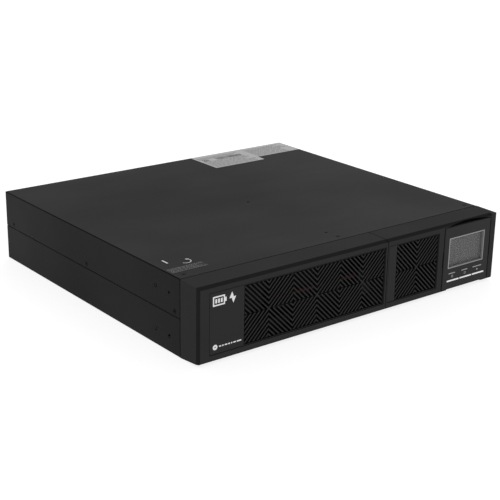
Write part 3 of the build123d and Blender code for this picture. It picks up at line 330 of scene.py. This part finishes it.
def screen(name):
    """Unlit liquid crystal display: an even grey with painted shade towards the top right, under a film
    grain.
    """
    m = Nodes(name)
    # Painted shade: darker towards the top right.
    shade_ramp = m.math("ADD", m.axis("X"), m.axis("Z"))
    film = m.noise(2200.0, 0.0, seed=3.1)
    colour = m.mix(m.between(shade_ramp, 0.0, 1.0, 0.17, 0.27), LCD, scaled(LCD, 0.8))
    tinted = m.mix(m.between(film, 0.0, 0.03), colour, scaled(LCD, 0.8))
    return m.surface(tinted, m.between(film, 0.43, 0.45), specular=0.12)


def clear_pane(name):
    """Clear hard-coated pane with faint wipe marks."""
    m = Nodes(name)
    wipes = m.noise(60.0, 5.0, 0.6, m.stretched((1.0, 1.0, 0.2)), seed=4.4)
    m.surface((0.5, 0.5, 0.5), m.between(wipes, 0.05, 0.14), specular=0.25)
    m.shader.inputs["Alpha"].default_value = 0.1
    return m.material



# Painted shade on the louvre's ribs: black from 0.7 mm to 2.1 mm behind its face.
louvre_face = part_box("cover_louvre")[0][1]
RIB_SHADE = (louvre_face + 0.7 * MM, louvre_face + 2.1 * MM)

materials = {}


def define(maker, name, *colour, **settings):
    materials[name] = maker(name, *colour, **settings)


# Outside
define(powder_coat, "case_paint", grey(0.0055), worn=0.1, specular=0.07)
# The bezel's slanted bevel strips get painted shade (dark_bevels).
define(moulded, "bezel_plastic", grey(0.023), specular=0.02, dark_bevels=True)
define(moulded, "louvre_plastic", grey(0.0125), worn=0.4, specular=0.14, shade=RIB_SHADE)
define(moulded, "display_plastic", grey(0.0105), rough=(0.4, 0.5), specular=0.15)
define(moulded, "trim_plastic", grey(0.22), rough=(0.35, 0.45), worn=0.0, grain=0.00001)
define(moulded, "key_plastic", grey(0.75), rough=(0.3, 0.4), worn=0.0, grain=0.00001)
define(clear_pane, "window_pane")
define(screen, "lcd_glass")

# Inside
define(circuit_board, "circuit_board")
define(metal, "zinc_steel", (0.5, 0.5, 0.48))
define(moulded, "black_screws", grey(0.003), rough=(0.45, 0.6), worn=0.3, specular=0.05)
define(metal, "fin_aluminium", (0.16, 0.16, 0.165), along="Y")
define(moulded, "battery_case", grey(0.03), rough=(0.35, 0.5), worn=0.3)
# gap=0.04 paints shade on the leads wherever anything lies within 40 mm, so inside the case they are
# darkened.
define(moulded, "red_insulation", (0.06, 0.004, 0.004), rough=(0.38, 0.5), worn=0.0, gap=0.04)
define(moulded, "black_insulation", grey(0.012), rough=(0.4, 0.5), worn=0.0, gap=0.04)
define(moulded, "connector_grey", grey(0.11), rough=(0.4, 0.52))
define(metal, "blade_brass", (0.72, 0.5, 0.2), rough=(0.2, 0.35))
define(paper_label, "label_paper", grey(0.43))
define(paper_label, "guide_print", grey(0.0065), specular=0.09)
define(moulded, "capacitor_sleeve", (0.01, 0.014, 0.04), rough=(0.2, 0.3), worn=0.0)
define(winding, "winding")
define(moulded, "ferrite", grey(0.035), rough=(0.55, 0.7), pitch=0.0012, grain=0.0001)
define(moulded, "relay_case", grey(0.02), rough=(0.3, 0.4))
define(moulded, "transistor_case", grey(0.016), rough=(0.45, 0.55))
define(moulded, "fan_plastic", grey(0.016), rough=(0.4, 0.5))

# Rear
define(metal, "guard_wire", (0.62, 0.62, 0.6), rough=(0.16, 0.28), along="Z")
define(moulded, "socket_plastic", grey(0.014), rough=(0.38, 0.5))
define(moulded, "breaker_red", grey(0.012), rough=(0.3, 0.4))  # black, in spite of the slot's name
define(moulded, "epo_green", (0.012, 0.12, 0.04), rough=(0.35, 0.48))
define(metal, "port_shell", (0.6, 0.6, 0.58), rough=(0.2, 0.34), along="Y")

# Print
define(ink, "white_ink", grey(0.72))
define(ink, "grey_ink", grey(0.32))
define(ink, "dim_ink", grey(0.17))
define(ink, "dark_ink", grey(0.02))

slot_of = {item["node"]: item["material_slot"] for item in frame["record"]["subparts"]}
for node, obj in frame["nodes"].items():
    if obj.material_slots:
        for slot in obj.material_slots:
            slot.material = materials[slot_of[node]]
    else:
        obj.data.materials.append(materials[slot_of[node]])


# Print: flat marks a few hundredths of a millimetre thick. All lengths from here to the floor are in mm


def oblong(x0, x1, y0, y1):
    return [(x0, y0), (x1, y0), (x1, y1), (x0, y1)]


def polar(cx, cy, radius, degrees):
    return (cx + radius * cos(radians(degrees)), cy + radius * sin(radians(degrees)))


def arc_band(cx, cy, inner, outer, start, end, steps=32):
    """A band along an arc; the angles are in degrees."""
    turns = [start + (end - start) * k / steps for k in range(steps + 1)]
    return [
        [polar(cx, cy, inner, a), polar(cx, cy, outer, a), polar(cx, cy, outer, b), polar(cx, cy, inner, b)]
        for a, b in zip(turns, turns[1:])
    ]


def frame_of(x0, x1, y0, y1, line):
    """Four strips round an oblong."""
    return [
        oblong(x0, x1, y0, y0 + line), oblong(x0, x1, y1 - line, y1),
        oblong(x0, x0 + line, y0 + line, y1 - line), oblong(x1 - line, x1, y0 + line, y1 - line),
    ]


def dashes(x0, x1, y, height, rng, longest=9.0):
    """A row of dashes of uneven length, which stands for a line of small print."""
    row, x = [], x0
    while x < x1 - 0.8:
        end = min(x1, x + rng.uniform(0.25, 1.0) * longest)
        row.append(oblong(x, end, y, y + height))
        x = end + height * 0.9
    return row


def bars(x, end, y0, y1, widths, gaps, rng):
    """A row of upright bars of uneven width."""
    row = []
    while x < end:
        width = rng.choice(widths)
        row.append(oblong(x, x + width, y0, y1))
        x += width + (rng.choice(gaps) if len(gaps) > 1 else gaps[0])
    return row


def printed(name, shapes, material, body, side, level, thickness=0.04):
    """Marks on a face that looks to the front (level is its Y) or to the top (level is its Z)."""
    mesh = bmesh.new()
    for points in shapes:
        bottom, top = [], []
        for u, v in points:
            for ring, lift in ((bottom, 0.0), (top, thickness)):
                place = (u, level - lift, v) if side == "front" else (u, v, level + lift)
                ring.append(mesh.verts.new(Vector(place) * MM))
        mesh.faces.new(top)
        mesh.faces.new(bottom[::-1])
        for k in range(len(points)):
            j = (k + 1) % len(points)
            mesh.faces.new((bottom[k], bottom[j], top[j], top[k]))
    bmesh.ops.recalc_face_normals(mesh, faces=mesh.faces)
    data = bpy.data.meshes.new(name)
    mesh.to_mesh(data)
    mesh.free()
    obj = bpy.data.objects.new(name, data)
    bpy.context.scene.collection.objects.link(obj)
    obj.data.materials.append(materials[material])
    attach(obj, body)
    return obj


def low(node, axis):
    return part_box(node)[0][axis] / MM


def high(node, axis):
    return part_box(node)[1][axis] / MM


def middle(node, axis):
    return (low(node, axis) + high(node, axis)) / 2


# Nameplate at the left end of the battery cover: a battery, a bolt of lightning, and a badge with a line
PLATE_MARK = (4.0, 52.0)  # from the lower left corner of the inset band
PLATE_BADGE = (7.0, 7.3)
PLATE_LINE_END = 34
BATTERY = (15, 10.5)  # without its pole
CELL = (2.2, 3.4)  # width and pitch of the three bars in the battery


def battery_mark(x, z):
    pole = oblong(x + BATTERY[0], x + BATTERY[0] + 2, z + 3.0, z + 7.5)
    cells = [oblong(x + 3 + CELL[1] * k, x + 3 + CELL[0] + CELL[1] * k, z + 3, z + 7.5) for k in range(3)]
    return frame_of(x, x + BATTERY[0], z, z + BATTERY[1], 1.5) + [pole] + cells


def bolt_mark(x, z):
    """Two slanting wedges, the lower one being the upper one turned half round."""
    upper = [(4.8, 12.5), (1.4, 5.6), (5.2, 5.6), (6.6, 7.8)]
    return [[(x + u, z + v) for u, v in upper], [(x + 11.2 - u, z + 12.5 - v) for u, v in upper]]


plate_x, plate_y, plate_z = (low("cover_louvre", axis) for axis in range(3))
mark_x, mark_z = plate_x + PLATE_MARK[0], plate_z + PLATE_MARK[1]
mark = battery_mark(mark_x, mark_z) + bolt_mark(mark_x + 19.2, mark_z - 1.0)
printed("nameplate_mark", mark, "white_ink", "battery_cover", "front", plate_y)
badge_x, badge_z = plate_x + PLATE_BADGE[0], plate_z + PLATE_BADGE[1]
badge = arc_band(badge_x, badge_z, 0.8, 2.9, 0, 360)
badge += dashes(badge_x + 5.0, badge_x + PLATE_LINE_END, badge_z - 0.7, 1.4, random.Random(4), 6.0)
printed("nameplate_badge", badge, "white_ink", "battery_cover", "front", plate_y)

# Display face: a short bar over each key, and under it a power sign, a frame and a pointer
KEY_LEGENDS = {"key_left": 11.0, "key_middle": 10.0, "key_right": 15.0}
LEGEND_X, LEGEND_Z, LEGEND_LINE = -2.0, 6.4, 1.0  # from the middle and the top of the key
SYMBOL_X, SYMBOL_Z = -1.1, 2.9

face_y = low("display_housing", 1)
key_top = high("key_left", 2)
legend = []
for node, width in KEY_LEGENDS.items():
    x, z = middle(node, 0) + LEGEND_X, key_top + LEGEND_Z
    legend.append(oblong(x - width / 2, x + width / 2, z, z + LEGEND_LINE))
left, centre, right = (middle(node, 0) + SYMBOL_X for node in KEY_LEGENDS)
z = key_top + SYMBOL_Z
symbols = arc_band(left, z, 1.05, 1.5, 120, 420) + [oblong(left - 0.22, left + 0.22, z + 0.3, z + 1.9)]
symbols += frame_of(centre - 1.5, centre + 1.5, z - 1.2, z + 1.2, 0.4)
symbols += [[(right - 1.2, z + 1.3), (right - 1.2, z - 1.3), (right + 1.3, z)]]
printed("key_legends", legend, "grey_ink", "display_module", "front", face_y)
printed("key_symbols", symbols, "grey_ink", "display_module", "front", face_y)

# Lid, near its front left corner: a block of small print, a short bar and a hooked arrow
GUIDE_ROWS, GUIDE_PITCH = 4, 3.2
GUIDE_BAR_X = (-203.6, -201.8)
GUIDE_BAR_Y = (45.5, 56)  # behind the lid's front edge
HOOK_X, HOOK_Y = -183.7, 41.3
HOOK_RADII = (6.0, 6.9)
HOOK_TURNS = (-143, 30)
HOOK_HEAD = ((4.4, 26), (8.5, 26), (6.3, 58))  # radius and angle of each corner

steel_z = high("top_cover", 2)
seam_y = low("top_cover", 1)
rng = random.Random(7)
small = []
for k in range(GUIDE_ROWS):
    ragged_end = high("guide_label", 0) - 1.5 - (k % 3) * 4
    row_y = low("guide_label", 1) + 1.4 + k * GUIDE_PITCH
    small += dashes(low("guide_label", 0) + 1.5, ragged_end, row_y, 0.9, rng, 3.0)
printed("guide_print_rows", small, "dim_ink", "chassis", "top", high("guide_label", 2))
bar = [oblong(*GUIDE_BAR_X, seam_y + GUIDE_BAR_Y[0], seam_y + GUIDE_BAR_Y[1])]
printed("guide_bar", bar, "white_ink", "chassis", "top", steel_z)
hook = arc_band(HOOK_X, seam_y + HOOK_Y, *HOOK_RADII, *HOOK_TURNS)
hook.append([polar(HOOK_X, seam_y + HOOK_Y, radius, degrees) for radius, degrees in HOOK_HEAD])
printed("guide_arrow", hook, "white_ink", "chassis", "top", steel_z)

# Labels at the rear right of the lid: rows of small print, and on one of them a code and a bar code
LABEL_MARGIN = 3
ROW_PITCH, ROW_LINE = 3.4, 1.1
CODE_ROWS = (9, 10, 11)  # rows that the codes take the place of
CODE_Y = (30.5, 39.5)
SQUARE_X = (2, 11)
SQUARE_ROWS, SQUARE_PITCH, SQUARE_LINE = 5, 1.8, 1.4
SQUARE_WIDTHS, SQUARE_GAPS = (0.9, 1.6, 2.4), (0.6,)
BAR_CODE_X = (24, 68)
BAR_WIDTHS, BAR_GAPS = (0.6, 0.9, 1.4), (0.4, 0.6, 0.9)


def codes(x0, x1, y0, rng):
    """A bar code, and left of it a square made of short rows of bars."""
    bar_end = min(x0 + BAR_CODE_X[1], x1 - 2)
    low_y, high_y = (y0 + y for y in CODE_Y)
    shapes = bars(x0 + BAR_CODE_X[0], bar_end, low_y, high_y, BAR_WIDTHS, BAR_GAPS, rng)
    for k in range(SQUARE_ROWS):
        y = low_y + k * SQUARE_PITCH
        start, end = (x0 + x for x in SQUARE_X)
        shapes += bars(start, end, y, y + SQUARE_LINE, SQUARE_WIDTHS, SQUARE_GAPS, rng)
    return shapes


for node, seed in (("rating_label", 3), ("spec_label", 5)):
    rng = random.Random(seed)
    has_codes = node == "rating_label"
    x0, x1 = low(node, 0) + LABEL_MARGIN, high(node, 0) - LABEL_MARGIN
    y0, y1 = low(node, 1) + LABEL_MARGIN, high(node, 1) - LABEL_MARGIN
    rows = []
    for k in range(int((y1 - y0) / ROW_PITCH)):
        if not (has_codes and k in CODE_ROWS):
            rows += dashes(x0, x1 - rng.uniform(0, 18), y0 + k * ROW_PITCH, ROW_LINE, rng, 8.0)
    if has_codes:
        rows += codes(x0, x1, y0, rng)
    printed(f"{node}_rows", rows, "dark_ink", "chassis", "top", high(node, 2))


# Floor, light and camera

FLOOR_SIZE, FLOOR_DROP, FLOOR_GLOW = 14.0, 0.0002, 0.8
WORLD_STRENGTH = 0.6
LOOK_AT = (0, 0, 0.05)
WHITE = (1, 1, 1, 1)


def floor_paper():
    """White paper that glows a little, so that it stays an even white far from the lights."""
    m = Nodes("floor_paper")
    m.shader.inputs["Emission Color"].default_value = WHITE
    m.shader.inputs["Emission Strength"].default_value = FLOOR_GLOW
    return m.surface(m.mix(m.noise(3.0), grey(0.34), grey(0.36)), 0.7, specular=0.1)


bpy.ops.mesh.primitive_plane_add(size=FLOOR_SIZE, location=(0, 0, cad_box[0][2] - FLOOR_DROP))
floor = bpy.context.object
floor.name = "floor"
floor.data.materials.append(floor_paper())

scene = bpy.context.scene
world = bpy.data.worlds.new("studio")
world.use_nodes = True
world.node_tree.nodes["Background"].inputs["Color"].default_value = WHITE
world.node_tree.nodes["Background"].inputs["Strength"].default_value = WORLD_STRENGTH
scene.world = world
scene.view_settings.view_transform = "Standard"


def softbox(name, place, size, power):
    light = bpy.data.lights.new(name, "AREA")
    light.shape = "RECTANGLE"
    light.size, light.size_y = size
    light.energy = power
    obj = bpy.data.objects.new(name, light)
    turn = (Vector(LOOK_AT) - Vector(place)).to_track_quat("-Z", "Y")
    obj.matrix_world = Matrix.Translation(place) @ turn.to_matrix().to_4x4()
    scene.collection.objects.link(obj)


softbox("key_light", (1.1, 1.2, 1.6), (1.6, 1.2), 11)
softbox("fill_light", (-0.6, -2.2, 1.0), (1.4, 1.0), 11)

# Camera: a perspective fit of the body's edges gives its direction, distance, roll and focal length
AZIMUTH, ELEVATION, ROLL = radians(-38.22), radians(19.24), radians(0.96)
DISTANCE = 1.4867
TARGET = (0, 0.2, 0.044)  # from the middle of the lid's front edge, on the floor
SLIDE = (-0.0213, 0.0263)  # to the camera's right and up
FOCAL = 2.3862  # in picture widths
SENSOR = 36.0  # mm

target = Vector(TARGET) + Vector((0, seam_y * MM, 0))
back = Vector((sin(AZIMUTH) * cos(ELEVATION), -cos(AZIMUTH) * cos(ELEVATION), sin(ELEVATION)))
level = Vector((0, 0, 1)).cross(back).normalized()
upright = back.cross(level)
right = level * cos(ROLL) + upright * sin(ROLL)
up = upright * cos(ROLL) - level * sin(ROLL)
place = target + back * DISTANCE - right * SLIDE[0] - up * SLIDE[1]
lens = bpy.data.cameras.new("camera")
lens.sensor_width = SENSOR
lens.lens = FOCAL * SENSOR
lens.clip_start, lens.clip_end = 0.05, 30
camera = bpy.data.objects.new("camera", lens)
camera.matrix_world = Matrix((right, up, back)).transposed().to_4x4()
camera.matrix_world.translation = place
scene.collection.objects.link(camera)
scene.camera = camera
